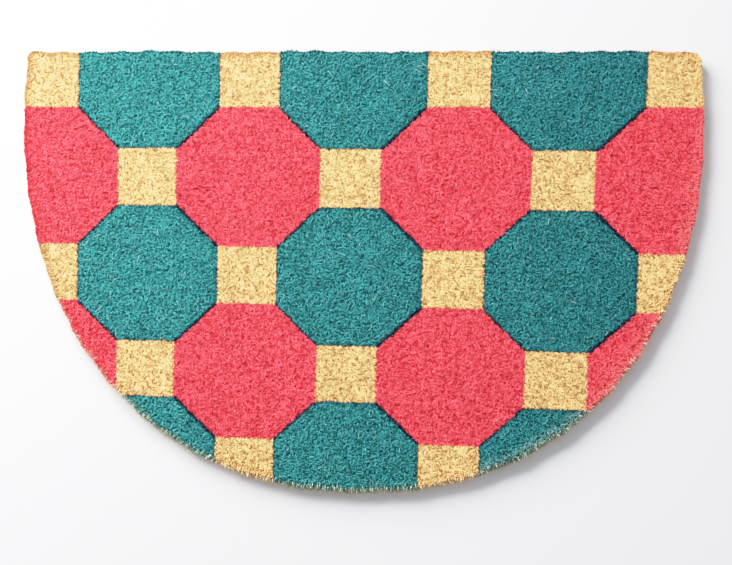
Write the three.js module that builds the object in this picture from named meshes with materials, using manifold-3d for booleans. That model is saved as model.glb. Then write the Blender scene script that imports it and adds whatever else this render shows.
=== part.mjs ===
// A half-moon coir doormat: one thick slab of close cut pile with a straight back edge, short
// square sides and a rounded front. The pile leans out a little over its rim, so the upper edge is
// rounded, and the trim of the edge is slightly wavy. +X runs along the back edge, +Y points to it.

import * as THREE from 'three';
import { mergeVertices } from 'three/addons/utils/BufferGeometryUtils.js';
import Module from 'manifold-3d';

// Driving dimensions, in millimetres
const MAT_WIDTH = 600;
const MAT_DEPTH = 400;
const MAT_HEIGHT = 16;
const SIDE_RUN = 37;
const BACK_CORNER_RADIUS = 8;

// The front is a half oval: a power of 2 would be a plain half ellipse, more has fuller shoulders
const FRONT_POWER = 2.18;
const FRONT_STEPS = 160;

// Rounding of the upper edge, where the outer tufts lean away from the mat
const RIM_DROP = 6;
const RIM_INSET = 4;
const RIM_ROWS = 3;

// Spacing of the points along the rim, fine enough for its waves
const RIM_STEP = 6;

// The wavy trim: each wave cuts in from the full outline by its depth, once in each period
const TRIM_WAVES = [
  { edge: 'back', period: 25, depth: 1.4, start: 8 },
  { edge: 'back', period: 140, depth: 1.2, start: 60 },
  { edge: 'front', period: 19, depth: 0.8, start: 3 },
  { edge: 'front', period: 47, depth: 1.0, start: 20 },
];

// Length below the underside that is trimmed off to leave a flat face
const UNDER_TRIM = 2;
const TRIM_MARGIN = 10;

// Finish of the coir fibre
const COIR_COLOUR = '#c9ac74';
const COIR_ROUGHNESS = 0.95;

const wasm = await Module();
wasm.setup();

// The full outline, counter-clockwise from the right end of the back edge
function outlinePath() {
  const half = MAT_WIDTH / 2;
  const back = MAT_DEPTH / 2;
  const shoulder = back - SIDE_RUN;
  const reach = MAT_DEPTH - SIDE_RUN;
  const radius = BACK_CORNER_RADIUS;
  const path = new THREE.Path();
  path.moveTo(half - radius, back);
  path.lineTo(-half + radius, back);
  path.absarc(-half + radius, back - radius, radius, Math.PI / 2, Math.PI, false);
  path.lineTo(-half, shoulder);
  for (let step = 1; step < FRONT_STEPS; step += 1) {
    const turn = (Math.PI * step) / FRONT_STEPS;
    const across = Math.abs(Math.cos(turn)) ** (2 / FRONT_POWER);
    const along = Math.sin(turn) ** (2 / FRONT_POWER);
    path.lineTo(-half * Math.sign(Math.cos(turn)) * across, shoulder - reach * along);
  }
  path.lineTo(half, shoulder);
  path.absarc(half - radius, back - radius, radius, 0, Math.PI / 2, false);
  return path;
}

// How far the wavy trim cuts in at a distance along the rim, on one edge
function trimCut(edge, distance) {
  let cut = 0;
  for (const wave of TRIM_WAVES) {
    if (wave.edge === edge) {
      const turn = (2 * Math.PI * (distance - wave.start)) / wave.period;
      cut += (wave.depth * (1 - Math.cos(turn))) / 2;
    }
  }
  return cut;
}

// The trimmed outline: evenly spaced points of the full one, each moved in by the trim's waves
function trimmedOutline() {
  const path = outlinePath();
  const count = Math.round(path.getLength() / RIM_STEP);
  const step = path.getLength() / count;
  const backRun = MAT_WIDTH - 2 * BACK_CORNER_RADIUS;
  const full = path.getSpacedPoints(count).slice(0, count);
  const trimmed = full.map((point, index) => {
    const before = full[(index + count - 1) % count];
    const after = full[(index + 1) % count];
    const tangent = new THREE.Vector2().subVectors(after, before).normalize();
    const inward = new THREE.Vector2(-tangent.y, tangent.x);
    const edge = index * step < backRun ? 'back' : 'front';
    return point.clone().addScaledVector(inward, trimCut(edge, index * step));
  });
  return new THREE.Shape(trimmed);
}

// A closed solid from a geometry, with its shared vertices merged
function solidOf(geometry) {
  geometry.deleteAttribute('normal');
  geometry.deleteAttribute('uv');
  const merged = mergeVertices(geometry);
  return new wasm.Manifold(new wasm.Mesh({
    numProp: 3,
    vertProperties: new Float32Array(merged.attributes.position.array),
    triVerts: new Uint32Array(merged.index.array),
  }));
}

// A geometry from a closed solid
function geometryOf(solid) {
  const mesh = solid.getMesh();
  const geometry = new THREE.BufferGeometry();
  geometry.setAttribute('position', new THREE.BufferAttribute(mesh.vertProperties, 3));
  geometry.setIndex(new THREE.BufferAttribute(mesh.triVerts, 1));
  geometry.computeVertexNormals();
  return geometry;
}

// The slab: the outline drawn up to the pile's height with a rounded rim, cut flat underneath
function slabGeometry() {
  const rounded = new THREE.ExtrudeGeometry(trimmedOutline(), {
    depth: MAT_HEIGHT + UNDER_TRIM - RIM_DROP,
    steps: 1,
    bevelEnabled: true,
    bevelThickness: RIM_DROP,
    bevelSize: RIM_INSET,
    bevelOffset: -RIM_INSET,
    bevelSegments: RIM_ROWS,
  });
  rounded.translate(0, 0, -UNDER_TRIM);
  const below = RIM_DROP + UNDER_TRIM + TRIM_MARGIN;
  const floor = new THREE.BoxGeometry(MAT_WIDTH + TRIM_MARGIN, MAT_DEPTH + TRIM_MARGIN, below);
  floor.translate(0, 0, -below / 2);
  const slab = geometryOf(solidOf(rounded).subtract(solidOf(floor)));
  slab.computeBoundingBox();
  const middle = slab.boundingBox.getCenter(new THREE.Vector3());
  slab.translate(-middle.x, -middle.y, 0);
  return slab;
}

const coir = new THREE.MeshStandardMaterial({
  color: COIR_COLOUR,
  roughness: COIR_ROUGHNESS,
  metalness: 0,
});

const slab = new THREE.Mesh(slabGeometry(), coir);
slab.name = 'pile_slab';

const doormat = new THREE.Group();
doormat.add(slab);

export default doormat;
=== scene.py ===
# %% [markdown]
# A half-moon coir doormat, printed with a tiling of octagons and squares.
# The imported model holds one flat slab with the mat's true outline. This lesson dresses that slab:
# it grows the cut coir pile fibre by fibre, prints it with two dyes, and lights it as in a studio.
# All lengths are written in millimetres and turned to metres with one factor.

# %% Load the frame
import math

import bmesh
import bpy
import numpy as np
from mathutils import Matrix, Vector


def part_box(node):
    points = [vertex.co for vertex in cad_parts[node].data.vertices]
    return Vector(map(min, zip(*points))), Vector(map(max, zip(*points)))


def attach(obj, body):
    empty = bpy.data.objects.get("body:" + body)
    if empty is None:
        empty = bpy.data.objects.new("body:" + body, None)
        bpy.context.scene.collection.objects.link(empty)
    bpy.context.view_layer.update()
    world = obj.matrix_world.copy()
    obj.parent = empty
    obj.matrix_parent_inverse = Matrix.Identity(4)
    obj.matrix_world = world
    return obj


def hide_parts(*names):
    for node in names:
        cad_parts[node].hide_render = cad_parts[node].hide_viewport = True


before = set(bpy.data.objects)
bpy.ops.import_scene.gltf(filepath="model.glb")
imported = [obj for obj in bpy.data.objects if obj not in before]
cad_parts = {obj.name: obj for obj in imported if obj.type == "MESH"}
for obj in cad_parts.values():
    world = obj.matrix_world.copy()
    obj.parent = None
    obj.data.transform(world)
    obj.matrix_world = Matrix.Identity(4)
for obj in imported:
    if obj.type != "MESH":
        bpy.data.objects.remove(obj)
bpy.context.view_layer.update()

MM = 0.001
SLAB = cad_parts["pile_slab"]
SLAB_LOW, SLAB_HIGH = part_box("pile_slab")
PILE_TOP = SLAB_HIGH.z
print("slab in mm:", [round(side / MM, 1) for side in SLAB_HIGH - SLAB_LOW])

# %% [markdown]
# The camera stands in front of the rounded edge and looks down steeply. A long lens keeps the
# straight back edge and the tiling nearly free of perspective. The picture is 732 x 565, so the
# sensor's width belongs to the picture's long side. Blender takes the lens and the sensor in
# millimetres as they are.

# %% Camera
CAMERA_ELEVATION = math.radians(71)
CAMERA_DISTANCE = 1750 * MM
CAMERA_LENS = 100
CAMERA_SENSOR = 36
CAMERA_AIM = Vector((2.0, -14.4, 0)) * MM

camera_data = bpy.data.cameras.new("camera")
camera_data.lens = CAMERA_LENS
camera_data.sensor_width = CAMERA_SENSOR
camera_data.sensor_fit = "HORIZONTAL"
camera = bpy.data.objects.new("camera", camera_data)
bpy.context.scene.collection.objects.link(camera)
toward_camera = Vector((0, -math.cos(CAMERA_ELEVATION), math.sin(CAMERA_ELEVATION)))
camera.location = CAMERA_AIM + toward_camera * CAMERA_DISTANCE
camera.rotation_euler = (math.pi / 2 - CAMERA_ELEVATION, 0, 0)
bpy.context.scene.camera = camera
print("camera height in mm:", round(camera.location.z / MM))

# %% [markdown]
# The rim of the mat is needed everywhere: to keep fibres inside it, and to lean the outer ones
# over it. The slab's underside is one flat ring, and the outline is seen whole from its middle,
# so each rim point can be found by its bearing from there. Reading it from the slab keeps one
# outline for the slab, the bed and the fibres.

# %% Rim of the slab, by bearing
UNDERSIDE_BAND = 0.2 * MM
FULL_TURN = 2 * math.pi


def unit(vectors):
    """Vectors of length 1."""
    return vectors / np.linalg.norm(vectors, axis=-1, keepdims=True)


slab_points = np.array([vertex.co[:] for vertex in SLAB.data.vertices])
ring = np.unique(slab_points[slab_points[:, 2] < UNDERSIDE_BAND][:, :2].round(7), axis=0)
ring = ring[np.argsort(np.arctan2(ring[:, 1], ring[:, 0]))]
ring_next = np.roll(ring, -1, axis=0)
ring_tangent = unit(ring_next - np.roll(ring, 1, axis=0))
ring_outward = np.stack([ring_tangent[:, 1], -ring_tangent[:, 0]], axis=1)
ring_bearing = np.arctan2(ring[:, 1], ring[:, 0])
ring_reach = np.linalg.norm(ring, axis=1)
RIM_LENGTH = np.linalg.norm(ring_next - ring, axis=1).sum()

# %% Distance to the rim


def rim_gap(places):
    """How far inside the rim each place lies, in metres, with the rim's outward direction there."""
    bearing = np.arctan2(places[:, 1], places[:, 0])
    away = np.linalg.norm(places, axis=1)
    reach, *outward = [
        np.interp(bearing, ring_bearing, values, period=FULL_TURN)
        for values in (ring_reach, ring_outward[:, 0], ring_outward[:, 1])
    ]
    outward = unit(np.stack(outward, axis=1))
    radial = places / np.maximum(away, MM)[:, None]
    return (reach - away) * (radial * outward).sum(axis=1), outward


print("middle to rim in mm:", round(rim_gap(np.zeros((1, 2)) + MM)[0][0] / MM))

# %% [markdown]
# Colours are written as sRGB hex values, as a dyer's card would show them, and shaders want
# linear light, so one function turns them. A second small function adds a node to a tree with its
# settings and links, and the coir's material is built with it.

# %% Colour and node helpers


def linear(hex_colour):
    """Linear RGBA of an sRGB hex colour."""
    channels = [int(hex_colour[i:i + 2], 16) / 255 for i in (1, 3, 5)]
    bright = [c / 12.92 if c <= 0.04045 else ((c + 0.055) / 1.055) ** 2.4 for c in channels]
    return (*bright, 1.0)


def add(tree, kind, settings, links):
    """Adds a node. Links go by the name or number of its input: an output to join, or a value to set."""
    node = tree.nodes.new("ShaderNode" + kind)
    for name, value in settings.items():
        setattr(node, name, value)
    for socket, value in links.items():
        if isinstance(value, bpy.types.NodeSocket):
            tree.links.new(value, node.inputs[socket])
        else:
            node.inputs[socket].default_value = value
    return node


print("middle grey in linear light:", round(linear("#808080")[0], 3))

# %% [markdown]
# The print is the common tiling of regular octagons with a small square in each gap. One tile step
# is half the distance between two octagons of a row. Octagons of one dye sit at even steps, those
# of the other dye at odd steps, and the squares stay undyed. Each side of an octagon lies the root
# of one half of a step from its middle. The screen lay a little askew and the coir gave under it,
# so the steps grow towards one side: a short table holds that, in tile steps. A picture could carry
# the print, but a formula stays sharp at any size, and it also sorts the fibres by their dye.

# %% Print layout
TILE_STEP = 89.0 * MM
OCTAGON_HALF = math.sqrt(0.5)
PRINT_WAYS = {
    "across": {
        "start": 2.150, "even": 1.0015, "grow": -0.0119, "skew": -0.0226, "turn": -0.0213, "least": -1.27,
    },
    "along": {
        "start": 1.837, "even": -0.9959, "grow": 0.0269, "skew": 0.0120, "turn": -0.0207, "least": -0.25,
    },
}


def print_steps(main, other, way):
    """The place along one way of the print, in tile steps, from the place along both ways of the mat."""
    stretch = way["even"] + way["grow"] * main + way["skew"] * other
    steps = way["start"] + main * stretch + way["turn"] * other
    return np.maximum(steps, way["least"])


corner_steps = print_steps(SLAB_LOW.x / TILE_STEP, SLAB_HIGH.y / TILE_STEP, PRINT_WAYS["across"])
print("print starts at step:", round(corner_steps, 2))

# %% [markdown]
# The material needs the same layout in nodes. Folding the place with wrap and absolute gives the
# distances to the nearest octagon's middle, and the octagon is where both the larger distance and
# the sum of the two stay small. A fine noise shakes the place first, so the printed edges are as
# ragged as dye on coarse fibre is. The dyes overlap a little on the slanted sides. A band of darker
# teal just inside each teal octagon's edges is painted shade.

# %% Print in nodes
TEAL_SHIFT = 0.8 * MM
FLAT_BLEED = 0.3 * MM
SLANT_BLEED = 1.1 * MM
TEAL_EDGE = 0.9 * MM
CORAL_EDGE = 1.6 * MM
# Width of the band of painted shade just inside the teal's edges.
SHADE_BAND_WIDTH = 1.3 * MM
EDGE_WOBBLE = 3.6 * MM
EDGE_WOBBLE_SIZE = 5 * MM
DIAGONAL = math.sqrt(0.5)


def step_nodes(tree, main, other, way):
    """print_steps in nodes."""
    total = way["even"]
    for value, factor, offset in (
        (main, way["grow"], way["even"]),
        (other, way["skew"], None),
        (main, None, way["start"]),
        (other, way["turn"], None),
    ):
        links = {0: value, 1: total if factor is None else factor, 2: total if offset is None else offset}
        total = add(tree, "Math", {"operation": "MULTIPLY_ADD"}, links).outputs[0]
    return add(tree, "Math", {"operation": "MAXIMUM"}, {0: total, 1: way["least"]}).outputs[0]


def octagon_nodes(tree, folded, edge, inset):
    """1 inside an octagon that is this far, in tile steps, from its middle both ways, and 0 outside.
    Its border is softened over edge, and moved in by inset, both in metres."""
    parts = add(tree, "SeparateXYZ", {}, {0: folded}).outputs
    larger = add(tree, "Math", {"operation": "MAXIMUM"}, {0: parts["X"], 1: parts["Y"]}).outputs[0]
    both = add(tree, "Math", {"operation": "ADD"}, {0: parts["X"], 1: parts["Y"]}).outputs[0]
    flat_edge = OCTAGON_HALF + (FLAT_BLEED - inset) / TILE_STEP
    slant_edge = OCTAGON_HALF + (SLANT_BLEED - inset) / TILE_STEP
    flat = add(tree, "Math", {"operation": "SUBTRACT"}, {0: flat_edge, 1: larger}).outputs[0]
    sloping = {0: both, 1: -DIAGONAL, 2: slant_edge}
    slanted = add(tree, "Math", {"operation": "MULTIPLY_ADD"}, sloping).outputs[0]
    inside = add(tree, "Math", {"operation": "MINIMUM"}, {0: flat, 1: slanted}).outputs[0]
    soft = {"operation": "MULTIPLY_ADD", "use_clamp": True}
    return add(tree, "Math", soft, {0: inside, 1: TILE_STEP / edge, 2: 0.5}).outputs[0]


def print_nodes(tree, place):
    """The masks of teal, coral and the teal inside its band of painted edge shade, at a place given in
    metres.
    """
    noise = {"Vector": place, "Scale": 1 / EDGE_WOBBLE_SIZE, "Detail": 3.0, "Roughness": 0.7}
    wobble = add(tree, "TexNoise", {"noise_dimensions": "2D"}, noise).outputs["Color"]
    centred = add(tree, "VectorMath", {"operation": "SUBTRACT"}, {0: wobble, 1: (0.5,) * 3}).outputs[0]
    shaken = {0: centred, 1: (EDGE_WOBBLE,) * 3, 2: place}
    uneven = add(tree, "VectorMath", {"operation": "MULTIPLY_ADD"}, shaken).outputs[0]
    in_steps = {0: uneven, "Scale": 1 / TILE_STEP}
    steps = add(tree, "VectorMath", {"operation": "SCALE"}, in_steps).outputs[0]
    parts = add(tree, "SeparateXYZ", {}, {0: steps}).outputs
    across = step_nodes(tree, parts["X"], parts["Y"], PRINT_WAYS["across"])
    along = step_nodes(tree, parts["Y"], parts["X"], PRINT_WAYS["along"])
    middle = add(tree, "CombineXYZ", {}, {"X": across, "Y": along}).outputs[0]
    folded = []
    for shift in ((-TEAL_SHIFT / TILE_STEP, 0, 0), (1, 1, 0)):
        moved = add(tree, "VectorMath", {"operation": "ADD"}, {0: middle, 1: shift}).outputs[0]
        one_octagon = {0: moved, 1: (1,) * 3, 2: (-1,) * 3}
        wrapped = add(tree, "VectorMath", {"operation": "WRAP"}, one_octagon).outputs[0]
        folded.append(add(tree, "VectorMath", {"operation": "ABSOLUTE"}, {0: wrapped}).outputs[0])
    teal = octagon_nodes(tree, folded[0], TEAL_EDGE, 0.0)
    coral = octagon_nodes(tree, folded[1], CORAL_EDGE, 0.0)
    # The teal clear of the band along its edges; the band gets painted shade.
    teal_clear_of_edge_shade = octagon_nodes(tree, folded[0], SHADE_BAND_WIDTH, SHADE_BAND_WIDTH)
    return teal, coral, teal_clear_of_edge_shade


print("octagon across in mm:", round(2 * OCTAGON_HALF * TILE_STEP / MM, 1))

# %% [markdown]
# Coir is the coarse husk fibre of the coconut: stiff, round, slightly waxy and golden when it is
# clean. Screen printing presses the dye in from above, so it colours the upper part of each fibre
# and leaves the foot golden. The teal is painted darker towards the right of the mat: painted shade
# of the light falling off away from the left. Where both dyes meet they darken to navy. Every fibre
# takes the dye a little differently, and three attributes of the pile carry that: its tint, how bare
# of dye it is, and the one place on the mat where the whole fibre was printed. The tint also carries
# painted shade: it is darker in the pits and on the short fibres that close the rim's wall. So the
# borders of the print are ragged fibre by fibre, and each fibre draws the dye down to a depth of its
# own. A soft mottle varies whole patches. To the eye that gives a matt, streaky, uneven colour.

# %% Material: screen-printed coir
COIR_GOLDEN = "#f8c17e"
COIR_PALE = "#e6e3c4"
# One teal dye in two colours: as lit on the left of the mat, and in painted shade on the right.
DYE_TEAL_LIT_SIDE = "#348786"
DYE_TEAL_SHADED_SIDE = "#267074"
# Painted shade: the darker teal of the band just inside the teal octagons' edges.
PAINTED_SHADE_TEAL = "#1a4f58"
DYE_CORAL = "#f94f5c"
DYE_BOTH = "#17142c"
COIR_ROUGHNESS = 0.8
COIR_IOR = 1.5
COIR_GLOSS = 0.12
DYE_FLOOR = 9.5 * MM
DYE_DRAWN = 6.0 * MM
DYE_FADE = 2.0 * MM
MOTTLE_SIZE = 24 * MM
MOTTLE_DEPTH = 0.10
DARK_ON_DEEP = 1.9
DARK_ON_CROWN = 1.2
TINT_DARK = 0.45
TINT_LIGHT = 1.15


def screen_printed_coir(name):
    """Coir fibre with the print on its upper part, read from its place on the mat."""
    material = bpy.data.materials.new(name)
    material.use_nodes = True
    tree = material.node_tree
    tree.nodes.clear()
    ways = add(tree, "SeparateXYZ", {}, {0: add(tree, "TexCoord", {}, {}).outputs["Object"]}).outputs
    place = add(tree, "Attribute", {"attribute_name": "printed_at"}, {}).outputs["Vector"]
    tint = add(tree, "Attribute", {"attribute_name": "tint"}, {}).outputs["Fac"]
    bare = add(tree, "Attribute", {"attribute_name": "bare"}, {}).outputs["Fac"]
    spread = {"operation": "MULTIPLY_ADD"}
    soft = {"operation": "MULTIPLY_ADD", "use_clamp": True}
    drawn = add(tree, "Math", spread, {0: tint, 1: DYE_DRAWN, 2: ways["Z"]}).outputs[0]
    sunk = add(tree, "Math", soft, {0: drawn, 1: 1 / DYE_FADE, 2: -DYE_FLOOR / DYE_FADE}).outputs[0]
    *masks, teal_clear_of_edge_shade = print_nodes(tree, place)
    # Painted shade: the teal darkens from the left of the mat to the right, as the light falls off.
    toward_shaded_side = add(tree, "Math", soft, {0: ways["X"], 1: 1 / (SLAB_HIGH.x - SLAB_LOW.x), 2: 0.5}).outputs[0]
    painted_falloff = {0: toward_shaded_side, 6: linear(DYE_TEAL_LIT_SIDE), 7: linear(DYE_TEAL_SHADED_SIDE)}
    teal_dye_and_painted_shade = add(tree, "Mix", {"data_type": "RGBA"}, painted_falloff).outputs[2]
    # Painted shade: a darker teal band just inside each teal octagon's edges.
    border = {0: teal_clear_of_edge_shade, 6: linear(PAINTED_SHADE_TEAL), 7: teal_dye_and_painted_shade}
    teal_dye_and_painted_shade = add(tree, "Mix", {"data_type": "RGBA"}, border).outputs[2]
    teal, coral = [
        add(tree, "Math", {"operation": "MULTIPLY"}, {0: mask, 1: sunk}).outputs[0] for mask in masks
    ]
    overlap = add(tree, "Math", {"operation": "MULTIPLY"}, {0: teal, 1: coral}).outputs[0]
    takes = add(tree, "Math", soft, {0: tint, 1: -DARK_ON_CROWN, 2: DARK_ON_DEEP}).outputs[0]
    both = add(tree, "Math", {"operation": "MULTIPLY"}, {0: overlap, 1: takes}).outputs[0]
    colour = linear(COIR_GOLDEN)
    for share, dye in (
        (coral, linear(DYE_CORAL)), (teal, teal_dye_and_painted_shade), (both, linear(DYE_BOTH)), (bare, linear(COIR_PALE)),
    ):
        colour = add(tree, "Mix", {"data_type": "RGBA"}, {0: share, 6: colour, 7: dye}).outputs[2]
    noise = {"Vector": place, "Scale": 1 / MOTTLE_SIZE, "Detail": 3.0, "Roughness": 0.55}
    mottle = add(tree, "TexNoise", {"noise_dimensions": "2D"}, noise).outputs["Fac"]
    patch = add(tree, "Math", spread, {0: mottle, 1: 2 * MOTTLE_DEPTH, 2: 1 - MOTTLE_DEPTH}).outputs[0]
    strand = add(tree, "Math", spread, {0: tint, 1: TINT_LIGHT - TINT_DARK, 2: TINT_DARK}).outputs[0]
    shade = add(tree, "Math", {"operation": "MULTIPLY"}, {0: patch, 1: strand}).outputs[0]
    shaded = add(tree, "VectorMath", {"operation": "SCALE"}, {0: colour, "Scale": shade}).outputs[0]
    surface = add(tree, "BsdfPrincipled", {}, {
        "Base Color": shaded, "Roughness": COIR_ROUGHNESS,
        "IOR": COIR_IOR, "Specular IOR Level": COIR_GLOSS,
    })
    add(tree, "OutputMaterial", {}, {"Surface": surface.outputs[0]})
    return material


printed_coir = screen_printed_coir("screen_printed_coir")
print("nodes in the printed coir:", len(printed_coir.node_tree.nodes))

# %% [markdown]
# Under the fibres lies the bed: the dense foot of the pile, where the fibres stand so close that
# no light comes through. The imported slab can't serve for it, because its top is where the fibre
# tips end. So it is one closed slab inside the rim, about two thirds of the mat's height. It starts
# as one face on the rim ring, is drawn up, and gets a soft upper edge.

# %% Bed of the pile
BED_TOP = 10.8 * MM
BED_INSET = 1.5 * MM
BED_EDGE = 2.0 * MM
BED_TINT = 0.65


def finished_piece(name, mesh):
    """An object for a finished mesh, riding on the mat's only body."""
    mesh.materials.append(printed_coir)
    piece = bpy.data.objects.new(name, mesh)
    bpy.context.scene.collection.objects.link(piece)
    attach(piece, "root")
    return piece


def pile_bed():
    """The closed slab under the fibres."""
    shape = bmesh.new()
    inner = ring - ring_outward * BED_INSET
    foot = shape.faces.new([shape.verts.new((x, y, 0)) for x, y in inner])
    drawn = bmesh.ops.extrude_face_region(shape, geom=[foot])
    raised = [part for part in drawn["geom"] if isinstance(part, bmesh.types.BMVert)]
    bmesh.ops.translate(shape, verts=raised, vec=(0, 0, BED_TOP))
    upper = [edge for edge in shape.edges if all(v.co.z > BED_TOP / 2 for v in edge.verts)]
    bmesh.ops.bevel(
        shape, geom=upper, offset=BED_EDGE, offset_type="OFFSET", affect="EDGES",
        segments=2, profile=0.5, material=-1, clamp_overlap=True,
    )
    bmesh.ops.recalc_face_normals(shape, faces=shape.faces)
    mesh = bpy.data.meshes.new("pile_bed")
    shape.to_mesh(mesh)
    shape.free()
    shade = mesh.attributes.new("tint", "FLOAT", "POINT")
    shade.data.foreach_set("value", np.full(len(mesh.vertices), BED_TINT, np.float32))
    printed = mesh.attributes.new("printed_at", "FLOAT_VECTOR", "POINT")
    printed.data.foreach_set("vector", np.array([vertex.co[:] for vertex in mesh.vertices]).ravel())
    return mesh


bed = finished_piece("pile_bed", pile_bed())
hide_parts("pile_slab")
print("bed faces:", len(bed.data.polygons))

# %% [markdown]
# The pile is hundreds of thousands of cut fibres, and each one is drawn as a narrow ribbon. Two
# kinds make the look. Short ones stand close on the bed and bend over: they are the body of the
# pile. Over them lie the crown strands, longer and curled. Neighbours lean alike, in tufts a few
# millimetres across, and small pits stay between them. Blender's own hair could grow such a pile,
# but hair isn't a mesh and wouldn't leave Blender with the mat. So arrays lay out all the ribbons
# of a piece at once, and one joined mesh is made from them. Real fibres are about 0.4 mm thick:
# they are drawn about two and a half times as wide, as wisps of a few, so that they show at this
# picture's size.

# %% Random values
SEED = 20
random = np.random.default_rng(SEED)


def smooth_noise(places, size):
    """Smooth random values from 0 to 1 at places, with features of a given size."""
    cells = places / size
    low = np.floor(cells.min(axis=0)).astype(int) - 1
    count = np.ceil(cells.max(axis=0)).astype(int) - low + 3
    table = random.random(count)
    corner = np.floor(cells).astype(int)
    share = cells - corner
    share = share * share * (3 - 2 * share)
    i, j = (corner - low).T
    back = table[i, j] * (1 - share[:, 0]) + table[i + 1, j] * share[:, 0]
    front = table[i, j + 1] * (1 - share[:, 0]) + table[i + 1, j + 1] * share[:, 0]
    return back * (1 - share[:, 1]) + front * share[:, 1]


def between(limits, share):
    """Values from a range's low to its high end, by a share."""
    return limits[0] + (limits[1] - limits[0]) * share


def turned(directions, angle):
    """Flat directions, each turned by its angle."""
    cos, sin = np.cos(angle), np.sin(angle)
    x, y = directions.T
    return np.stack([x * cos - y * sin, x * sin + y * cos], axis=1)


print("seed of the random values:", SEED)

# %% Ribbons as arrays
MAP_FILL = 0.9


def ribbon_sides(across, roll, width, spread):
    """Half of each ribbon's width as a vector: level but for a random roll, and of uneven width."""
    count = len(across)
    crosswise = unit(np.column_stack([across, random.normal(0, roll, count)]))
    return crosswise * (width * random.uniform(*spread, count) / 2)[:, None]


def ribbons(spine, side, tint, bare):
    """Ribbons from each fibre's points, root to tip, and half its width as a vector. tint and bare are
    one value a fibre. A ribbon ends in a point, and its face looks up."""
    count, levels = spine.shape[:2]
    looks_down = np.cross(side, spine[:, -1] - spine[:, 0])[:, 2] < 0
    side = np.where(looks_down[:, None], -side, side)[:, None]
    body = spine[:, :-1]
    edges = np.stack([body - side, body + side], axis=2).reshape(count, -1, 3)
    points = np.concatenate([edges, spine[:, -1:]], axis=1)
    last = points.shape[1] - 1
    steps = range(levels - 2)
    loops = [corner + 2 * step for step in steps for corner in (0, 1, 3, 2)] + [last - 2, last - 1, last]
    level = np.append(np.repeat(np.arange(levels - 1), 2), levels - 1)
    values = [np.broadcast_to(value[:, None], points.shape[:2]) for value in (tint, bare)]
    across = np.append(np.tile([0.0, 1.0], levels - 1), 0.5)
    spot = np.stack([across, level / (levels - 1)], axis=1) * MAP_FILL + (1 - MAP_FILL) / 2
    return {
        "points": points, "values": values, "spot": spot,
        "printed_at": np.broadcast_to(spine.mean(axis=1)[:, None], points.shape),
        "loops": np.array(loops), "sizes": np.array([4 for _ in steps] + [3]),
    }


print("share of its tile that a ribbon fills:", MAP_FILL)

# %% One mesh of many ribbons


def joined_mesh(name, bundles):
    """One mesh of several bundles of ribbons. Its UV map for baking gives each ribbon a small tile."""
    wide = math.ceil(math.sqrt(sum(len(bundle["points"]) for bundle in bundles)))
    first_point, first_tile = 0, 0
    corners, sizes, places = [], [], []
    for bundle in bundles:
        count, per_ribbon = bundle["points"].shape[:2]
        number = np.arange(count)
        corners.append((first_point + number[:, None] * per_ribbon + bundle["loops"]).ravel())
        sizes.append(np.tile(bundle["sizes"], count))
        tile = np.stack(np.divmod(first_tile + number, wide), axis=1)
        places.append(((tile[:, None] + bundle["spot"][bundle["loops"]]) / wide).reshape(-1, 2))
        first_point += count * per_ribbon
        first_tile += count
    corners, sizes, places = np.concatenate(corners), np.concatenate(sizes), np.concatenate(places)
    points = np.concatenate([bundle["points"].reshape(-1, 3) for bundle in bundles])
    mesh = bpy.data.meshes.new(name)
    mesh.vertices.add(len(points))
    mesh.vertices.foreach_set("co", points.astype(np.float32).ravel())
    mesh.loops.add(len(corners))
    mesh.loops.foreach_set("vertex_index", corners.astype(np.int32))
    mesh.polygons.add(len(sizes))
    mesh.polygons.foreach_set("loop_start", (np.cumsum(sizes) - sizes).astype(np.int32))
    mesh.update(calc_edges=True)
    for index, attribute in enumerate(("tint", "bare")):
        layer = mesh.attributes.new(attribute, "FLOAT", "POINT")
        values = np.concatenate([bundle["values"][index].ravel() for bundle in bundles])
        layer.data.foreach_set("value", values.astype(np.float32))
    layer = mesh.attributes.new("printed_at", "FLOAT_VECTOR", "POINT")
    printed = np.concatenate([bundle["printed_at"].reshape(-1, 3) for bundle in bundles])
    layer.data.foreach_set("vector", printed.astype(np.float32).ravel())
    layer = mesh.uv_layers.new(name="OFBake", do_init=False)
    layer.uv.foreach_set("vector", places.astype(np.float32).ravel())
    print(name, "ribbons:", first_tile, "triangles:", len(corners) - 2 * len(sizes))
    return mesh


# %% [markdown]
# The print decides which piece a fibre belongs to, so the pile is split by its dyes and rows: that
# keeps each piece a sensible size. The dyes also change the pile. The undyed and coral fibres stay
# fine and upright, with small pits. The teal took more dye, and its fibres clump, and more of them
# lie over in curls.

# %% Sow the roots
ROOT_INSET = 0.9 * MM
QUICK_SHARE = 1.0


def sown(per_mm2):
    """Places over the whole mat: an even grid, each place shaken within its own cell."""
    step = MM / math.sqrt(per_mm2 * QUICK_SHARE)
    xs = np.arange(SLAB_LOW.x, SLAB_HIGH.x, step)
    ys = np.arange(SLAB_LOW.y, SLAB_HIGH.y, step)
    grid = np.stack(np.meshgrid(xs, ys), axis=-1).reshape(-1, 2)
    places = grid + random.uniform(-0.5, 0.5, grid.shape) * step
    return places[rim_gap(places)[0] > ROOT_INSET]


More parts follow.
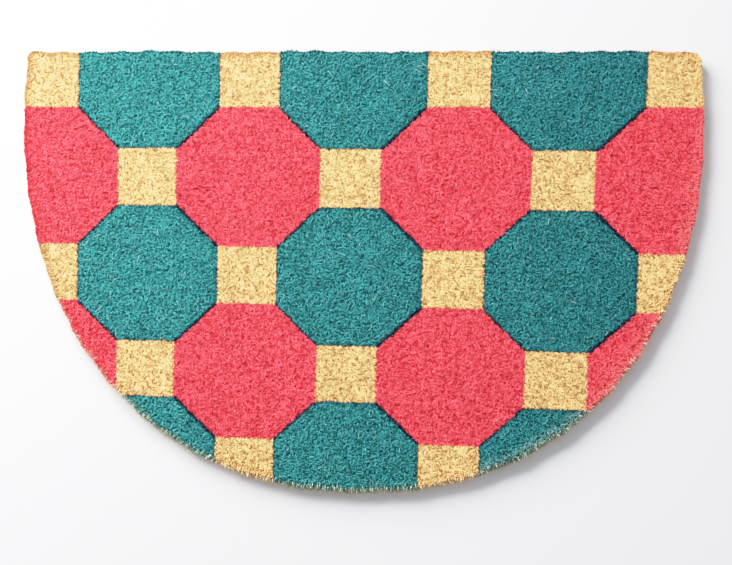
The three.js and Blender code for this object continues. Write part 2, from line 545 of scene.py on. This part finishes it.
def print_rows(places, margin=0.0):
    """The row of octagons that each place lies in, counted from the back, or -1 elsewhere. Places in
    an octagon but within a margin of its sides count as elsewhere."""
    half = OCTAGON_HALF - margin / TILE_STEP
    corner = 1 - margin / TILE_STEP * math.sqrt(2)
    x, y = (places / TILE_STEP).T
    across = print_steps(x, y, PRINT_WAYS["across"])
    along = print_steps(y, x, PRINT_WAYS["along"])
    fold_across = np.abs((across + 1) % 2 - 1)
    fold_along = np.abs((along + 1) % 2 - 1)
    slant = fold_across + fold_along
    in_teal = (np.maximum(fold_across, fold_along) < half) & (slant < corner)
    in_coral = (np.minimum(fold_across, fold_along) > 1 - half) & (2 - slant <= corner)
    row = np.full(len(places), -1)
    row[in_teal] = np.round(along[in_teal] / 2).astype(int) * 2
    row[in_coral] = np.round((along[in_coral] - 1) / 2).astype(int) * 2 + 1
    return row


print("row of the mat's middle:", print_rows(np.zeros((1, 2)))[0] + 1)

# %% Body fibres
TUFT_SIZE = 4.0 * MM
TUFT_SCATTER = 0.9
LEAN_SCATTER = 0.3
TIP_SCATTER = 0.5
BODY_SPREAD = (0.7, 1.25)
PIT_SIZE = 2.1 * MM
PIT_LEVEL = (0.12, 0.27)
RIM_REACH = 6 * MM
RIM_SLOPE = (1.6 * MM, 3.0 * MM)
ROOT_SINK = 1 * MM
STAND = (1.2 * MM, 2.3 * MM)
STAND_REACH = (0.1 * MM, 0.6 * MM)
TIP_RISE = (0.1 * MM, 1.1 * MM)
TIP_REACH = (1.0 * MM, 2.6 * MM)
RIM_SHORT = 0.5
PUFF_SIZE = 9 * MM
CLUMP_SIZE = 5.5 * MM
WORN_FROM = 0.5
WORN_RAMP = 2
WORN_PATCHY = (0.7, 1.0)


def worn_dye(places, look):
    """How bare of dye the pile is: feet have worn the print along the right of the rim."""
    gap, outward = rim_gap(places)
    right = np.clip(WORN_RAMP * outward[:, 0], 0, 1)
    front = np.clip(WORN_FROM - WORN_RAMP * outward[:, 1], 0, 1)
    share = right * front * np.clip(1 - gap / look["worn_band"], 0, 1)
    return look["worn"] * share * random.uniform(*WORN_PATCHY, len(places))


def body_fibres(places, look):
    """Short fibres that stand on the bed, lean in tufts and bend over at the tip."""
    count = len(places)
    gap, outward = rim_gap(places)
    heading = 2 * FULL_TURN * smooth_noise(places, TUFT_SIZE) + random.normal(0, TUFT_SCATTER, count)
    near_rim = np.clip(1 - (gap - ROOT_INSET) / RIM_REACH, 0, 1)
    lean = np.stack([np.cos(heading), np.sin(heading)], axis=1) * (1 - near_rim)[:, None]
    lean = turned(unit(lean + outward * near_rim[:, None]), random.normal(0, LEAN_SCATTER, count))
    low, high = PIT_LEVEL
    open_pit = 1 - np.clip((smooth_noise(places, PIT_SIZE) - low) / (high - low), 0, 1)
    root = np.column_stack([places, np.full(count, BED_TOP - ROOT_SINK)])
    bend = root.copy()
    bend[:, :2] += lean * between(STAND_REACH, random.random(count))[:, None]
    bend[:, 2] = BED_TOP + between(STAND, 1 - look["uneven"] * random.random(count))
    faces_front = np.clip(-outward[:, 1], 0, 1)
    slope = near_rim * between(RIM_SLOPE, faces_front) * random.random(count)
    bend[:, 2] -= open_pit * look["pit_depth"] + slope
    puff = near_rim * np.clip(outward[:, 1], 0, 1) * smooth_noise(places, PUFF_SIZE) * look["back_puff"]
    onward = turned(lean, random.normal(0, TIP_SCATTER, count))
    tip = bend.copy()
    reach = between(TIP_REACH, random.random(count)) * (1 - RIM_SHORT * near_rim)
    tip[:, :2] += onward * (reach + puff)[:, None]
    tip[:, 2] += between(TIP_RISE, look["uneven"] * random.random(count))
    across = np.column_stack([-onward[:, 1], onward[:, 0]])
    side = ribbon_sides(across, look["roll"], look["body_width"], BODY_SPREAD)
    clumped = between((random.random(count), smooth_noise(places, CLUMP_SIZE)), look["clumps"])
    # Painted shade: fibres in the pits get a darker tint, by the look's pit_shade.
    tint = between(look["body_tint"], clumped) * (1 - look["pit_shade"] * open_pit)
    return ribbons(np.stack([root, bend, tip], axis=1), side, tint, worn_dye(places, look))


print("pile above the bed in mm:", round((PILE_TOP - BED_TOP) / MM, 1))

# %% Crown strands
CROWN_LEVELS = 5
CROWN_LOW = (11.8 * MM, 13.4 * MM)
CROWN_CURL = 1.3
CROWN_ROLL = 0.25
CROWN_SPREAD = (0.7, 1.2)
CROWN_RIM_GAP = 2.5 * MM
PALE_MOST = 0.06
PALE_RARE = 3


def curled_paths(middle, length, heading, curl, levels):
    """Flat curved paths of given lengths, centred on their middles."""
    steps = np.linspace(-0.5, 0.5, levels)
    angle = heading[:, None] + curl[:, None] * steps[None]
    stride = (length / (levels - 1))[:, None]
    path = np.cumsum(np.stack([np.cos(angle), np.sin(angle)], axis=2) * stride[..., None], axis=1)
    return path + (middle - path.mean(axis=1))[:, None]


def kept_inside(path, margin):
    """Paths moved in from the rim where they would come too near it."""
    count, levels = path.shape[:2]
    gap, outward = rim_gap(path.reshape(-1, 2))
    gap = gap.reshape(count, levels)
    worst = outward.reshape(count, levels, 2)[np.arange(count), gap.argmin(axis=1)]
    return path - (worst * np.maximum(0, margin - gap.min(axis=1))[:, None])[:, None]


def crown_strands(places, look):
    """Longer curled strands that lie over the body of the pile."""
    count = len(places)
    heading = 2 * FULL_TURN * smooth_noise(places, 2 * TUFT_SIZE) + random.normal(0, TUFT_SCATTER, count)
    length = between(look["crown_length"], random.random(count))
    path = curled_paths(places, length, heading, random.normal(0, CROWN_CURL, count), CROWN_LEVELS)
    path = kept_inside(path, CROWN_RIM_GAP)
    along = np.linspace(0, 1, CROWN_LEVELS)[None]
    start, end = between(CROWN_LOW, random.random((2, count, 1)))
    arch = between(look["crown_arch"], random.random((count, 1)))
    height = start + (end - start) * along + 4 * arch * along * (1 - along)
    spine = np.concatenate([path, np.minimum(height, PILE_TOP)[..., None]], axis=2)
    across = np.column_stack([-np.sin(heading), np.cos(heading)])
    side = ribbon_sides(across, CROWN_ROLL, look["crown_width"], CROWN_SPREAD)
    clumped = between((random.random(count), smooth_noise(places, CLUMP_SIZE)), look["clumps"])
    tint = between(look["crown_tint"], clumped)
    bare = np.maximum(PALE_MOST * random.random(count) ** PALE_RARE, worn_dye(places, look))
    return ribbons(spine, side, tint, bare)


print("ends of the crown strands, height in mm:", [round(height / MM, 1) for height in CROWN_LOW])

# %% Pile, piece by piece
PILE_LOOKS = {
    "squares": {
        "slot": "coir_natural", "body_per_mm2": 1.5, "body_width": 1.15 * MM, "body_tint": (0.56, 0.63),
        "clumps": 0.4, "roll": 0.06, "uneven": 0.15, "pit_depth": 0.4 * MM, "pit_shade": 0.25,
        "back_puff": 0.0, "worn": 0.0, "worn_band": 15 * MM, "crown_margin": 0.0,
        "crown_per_mm2": 0.03, "crown_length": (2.0 * MM, 4.0 * MM), "crown_width": 0.6 * MM,
        "crown_arch": (0.2 * MM, 0.8 * MM), "crown_tint": (0.55, 0.68),
    },
    "coral": {
        "slot": "coir_coral", "body_per_mm2": 1.25, "body_width": 1.05 * MM, "body_tint": (0.72, 0.93),
        "clumps": 0.5, "roll": 0.16, "uneven": 0.6, "pit_depth": 1.3 * MM, "pit_shade": 0.55,
        "back_puff": 0.0, "worn": 0.12, "worn_band": 14 * MM, "crown_margin": 0.0,
        "crown_per_mm2": 0.03, "crown_length": (2.0 * MM, 5.0 * MM), "crown_width": 0.65 * MM,
        "crown_arch": (0.2 * MM, 0.9 * MM), "crown_tint": (0.7, 1.0),
    },
    "teal": {
        "slot": "coir_teal", "body_per_mm2": 1.15, "body_width": 1.0 * MM, "body_tint": (0.55, 1.0),
        "clumps": 0.65, "roll": 0.16, "uneven": 0.7, "pit_depth": 1.2 * MM, "pit_shade": 0.45,
        "back_puff": 3.2 * MM, "worn": 0.2, "worn_band": 10 * MM, "crown_margin": 2.0 * MM,
        "crown_per_mm2": 0.15, "crown_length": (2.2 * MM, 5.0 * MM), "crown_width": 0.9 * MM,
        "crown_arch": (0.2 * MM, 1.0 * MM), "crown_tint": (0.6, 1.1),
    },
}
pile = []
for dye, look in PILE_LOOKS.items():
    body_roots = sown(look["body_per_mm2"])
    crown_roots = sown(look["crown_per_mm2"])
    body_row = print_rows(body_roots)
    crown_row = print_rows(crown_roots, look["crown_margin"])
    for row in np.unique(body_row):
        if ("squares" if row < 0 else ("teal", "coral")[row % 2]) != dye:
            continue
        name = "pile_squares" if row < 0 else f"pile_{dye}_row_{row + 1}"
        body = body_fibres(body_roots[body_row == row], look)
        crown = crown_strands(crown_roots[crown_row == row], look)
        pile.append(finished_piece(name, joined_mesh(name, [body, crown])))

# %% [markdown]
# Along the cut edge nothing holds the outer fibres upright, so they splay over the rim and show
# their pale, undyed sides. They are ribbons too, rooted in the wall of the bed, in three kinds.
# Short ones, darkened as painted shade under the overhanging pile, close the wall; bristles stand
# up along it, and spikes stick out over it as from a worn brush. Along the rounded front, where feet
# step, they are partly bare of dye.

# %% Fibres of the rim
RIM_LOOKS = {
    # The wall fibres' low tint is painted shade under the overhanging pile.
    "wall": {
        "per_mm": 6.0, "roots": (0.8 * MM, 9.5 * MM), "reach": (2.2 * MM, 3.8 * MM),
        "rise": (0.2 * MM, 4.0 * MM), "width": 0.85 * MM, "tint": (0.25, 0.7), "bare": (0.2, 0.7),
        "swing": 0.8 * MM, "inset": (1.9 * MM, 2.1 * MM),
    },
    "bristles": {
        "per_mm": 6.0, "roots": (0.3 * MM, 1.5 * MM), "reach": (0.3 * MM, 2.6 * MM),
        "rise": (8.0 * MM, 13.5 * MM), "width": 0.85 * MM, "tint": (0.3, 1.0), "bare": (0.15, 0.85),
        "swing": 0.9 * MM, "inset": (0.4 * MM, 1.5 * MM),
    },
    "spikes": {
        "per_mm": 5.5, "roots": (5.0 * MM, 12.3 * MM), "reach": (2.4 * MM, 4.8 * MM),
        "rise": (-2.0 * MM, 2.4 * MM), "width": 0.62 * MM, "tint": (0.45, 0.95), "bare": (0.15, 0.65),
        "swing": 1.0 * MM, "inset": (0.5 * MM, 4.0 * MM),
    },
}
FRONT_FROM = 0.2
FRONT_SPAN = 0.4
SIDE_REACH = 0.5
FLOOR_CLEAR = 0.3 * MM
RIM_ROLL = 0.3
RIM_SPREAD = (0.7, 1.2)
BEND_AT = {"reach": 0.6, "swing": 0.4, "rise": 0.75}
TIP_AT = {"reach": 1.0, "swing": 1.0, "rise": 1.0}


def rim_fibres(look):
    """Splayed fibres all round the cut edge."""
    count = int(RIM_LENGTH / MM * look["per_mm"] * QUICK_SHARE)
    along_rim = np.sort(random.random(count)) * len(ring)
    index = along_rim.astype(int)
    share = (along_rim - index)[:, None]
    edge = ring[index] * (1 - share) + ring_next[index] * share
    outward = unit(ring_outward[index] * (1 - share) + ring_outward[(index + 1) % len(ring)] * share)
    sideways = turned(outward, np.full(count, math.pi / 2))
    inset = between(look["inset"], random.random(count))
    height = between(look["roots"], random.random(count))
    root = np.column_stack([edge - outward * inset[:, None], height])
    faces_front = np.clip((-outward[:, 1] - FRONT_FROM) / FRONT_SPAN, 0, 1)
    reach = between(look["reach"], random.random(count)) * between((SIDE_REACH, 1.0), faces_front)
    rise = between(look["rise"], random.random(count))
    swing = random.normal(0, 1, count) * look["swing"]
    spine = [root]
    for part in (BEND_AT, TIP_AT):
        point = root.copy()
        point[:, :2] += outward * (reach * part["reach"])[:, None]
        point[:, :2] += sideways * (swing * part["swing"])[:, None]
        point[:, 2] = np.clip(point[:, 2] + rise * part["rise"], FLOOR_CLEAR, PILE_TOP)
        spine.append(point)
    side = ribbon_sides(sideways, RIM_ROLL, look["width"], RIM_SPREAD)
    tint = between(look["tint"], random.random(count))
    bare = between(look["bare"], random.random(count)) * faces_front
    return ribbons(np.stack(spine, axis=1), side, tint, bare)


rim = joined_mesh("pile_rim", [rim_fibres(look) for look in RIM_LOOKS.values()])
pile.append(finished_piece("pile_rim", rim))

# %% [markdown]
# A few long fibres work loose from every coir mat and lie over the pile as pale curved hairs. They
# are ribbons again, narrower than the rest, and they show most on the teal.

# %% Loose hairs
HAIR_COUNT = 320
HAIR_LEVELS = 6
HAIR_LENGTH = (3 * MM, 9 * MM)
LONG_HAIR_RARE = 2
HAIR_WIDTH = 0.42 * MM
HAIR_RIM_GAP = 9 * MM
HAIR_PLACES_PER_MM2 = 0.05
HAIR_CURL = 1.0
HAIR_ROLL = 0.3
HAIR_SINK = 2 * MM
HAIR_ARCH = 1.5 * MM
HAIR_BARE = (0.05, 0.3)
HAIR_OFF_TEAL = 0.3


def loose_hairs():
    """Pale curved hairs lying over the pile."""
    inner = sown(HAIR_PLACES_PER_MM2 / QUICK_SHARE)
    inner = inner[rim_gap(inner)[0] > HAIR_RIM_GAP]
    middle = inner[random.choice(len(inner), HAIR_COUNT, replace=False)]
    length = between(HAIR_LENGTH, random.random(HAIR_COUNT) ** LONG_HAIR_RARE)
    heading = random.random(HAIR_COUNT) * FULL_TURN
    path = curled_paths(middle, length, heading, random.normal(0, HAIR_CURL, HAIR_COUNT), HAIR_LEVELS)
    arch = np.sin(math.pi * np.linspace(0, 1, HAIR_LEVELS))[None] * random.random((HAIR_COUNT, 1))
    height = PILE_TOP - HAIR_SINK + HAIR_ARCH * arch
    spine = np.concatenate([path, height[..., None]], axis=2)
    roll = random.normal(0, HAIR_ROLL, HAIR_COUNT)
    crosswise = unit(np.column_stack([-np.sin(heading), np.cos(heading), roll]))
    on_teal = print_rows(middle) % 2 == 0
    bare = between(HAIR_BARE, random.random(HAIR_COUNT)) * np.where(on_teal, 1.0, HAIR_OFF_TEAL)
    return ribbons(spine, crosswise * HAIR_WIDTH / 2, np.ones(HAIR_COUNT), bare)


pile.append(finished_piece("loose_hairs", joined_mesh("loose_hairs", [loose_hairs()])))
TRIANGLES = sum(len(piece.data.loops) - 2 * len(piece.data.polygons) for piece in [bed, *pile])
print("triangles in all:", TRIANGLES)

# %% [markdown]
# The studio: a pale floor, one broad soft light above the left side, and a pale surround that
# fills the shadows. The floor is matt paper, which takes a soft shadow and shows no gloss. The
# broad light gives that shadow to the right and in front, and its nearness makes the left side
# brighter. Several lamps could do the same, but one keeps the shadow single.

# %% Floor and light
FLOOR_PALE = "#dddde0"
FLOOR_DROP = 0.2 * MM
FLOOR_HALF = 4000 * MM
FLOOR_ROUGHNESS = 0.9
FLOOR_GLOSS = 0.1
WINDOW_PLACE = Vector((-1000, 950, 950)) * MM
WINDOW_AIM = Vector((-350, 150, 0)) * MM
WINDOW_SIZE = 1350 * MM
WINDOW_POWER = 103
SURROUND_COLOUR = "#eef1f6"
SURROUND_STRENGTH = 0.72


def pale_floor():
    """A wide floor just under the mat."""
    shape = bmesh.new()
    bmesh.ops.create_grid(shape, x_segments=1, y_segments=1, size=FLOOR_HALF)
    bmesh.ops.translate(shape, verts=shape.verts, vec=(0, 0, -FLOOR_DROP))
    mesh = bpy.data.meshes.new("floor")
    shape.to_mesh(mesh)
    shape.free()
    material = bpy.data.materials.new("floor_paper")
    material.use_nodes = True
    paper = material.node_tree.nodes["Principled BSDF"]
    paper.inputs["Base Color"].default_value = linear(FLOOR_PALE)
    paper.inputs["Roughness"].default_value = FLOOR_ROUGHNESS
    paper.inputs["Specular IOR Level"].default_value = FLOOR_GLOSS
    mesh.materials.append(material)
    floor = bpy.data.objects.new("floor", mesh)
    bpy.context.scene.collection.objects.link(floor)


def soft_light(name, place, aim, size, power):
    """A square area light that faces a point."""
    data = bpy.data.lights.new(name, "AREA")
    data.size = size
    data.energy = power
    light = bpy.data.objects.new(name, data)
    light.location = place
    light.rotation_euler = (aim - place).to_track_quat("-Z", "Y").to_euler()
    bpy.context.scene.collection.objects.link(light)


pale_floor()
soft_light("window", WINDOW_PLACE, WINDOW_AIM, WINDOW_SIZE, WINDOW_POWER)
world = bpy.data.worlds.new("studio")
bpy.context.scene.world = world
world.use_nodes = True
surround = world.node_tree.nodes["Background"]
surround.inputs["Color"].default_value = linear(SURROUND_COLOUR)
surround.inputs["Strength"].default_value = SURROUND_STRENGTH
print("window above the floor in mm:", round(WINDOW_PLACE.z / MM))

# %% [markdown]
# A photograph rolls its brightest tones off softly instead of cutting them. A curve on the view
# does the same here: it leaves the darker tones alone and bends the bright ones towards white.
# Blender keeps four such curves, and the last one works on all three colours together.

# %% Tone curve
TONE_CURVE = (
    (0.0, 0.0), (0.25, 0.25), (0.5, 0.485), (0.8, 0.7), (1.0, 0.785), (1.3, 0.855),
    (1.7, 0.93), (2.1, 0.985), (2.5, 1.0),
)
view = bpy.context.scene.view_settings
view.view_transform = "Standard"
view.use_curve_mapping = True
view.curve_mapping.clip_max_x = TONE_CURVE[-1][0]
tone = view.curve_mapping.curves[3]
tone.points[1].location = TONE_CURVE[-1]
for light_in, light_out in TONE_CURVE[1:-1]:
    tone.points.new(light_in, light_out)
view.curve_mapping.update()
print("tone curve:", [tuple(round(v, 2) for v in point.location) for point in tone.points])
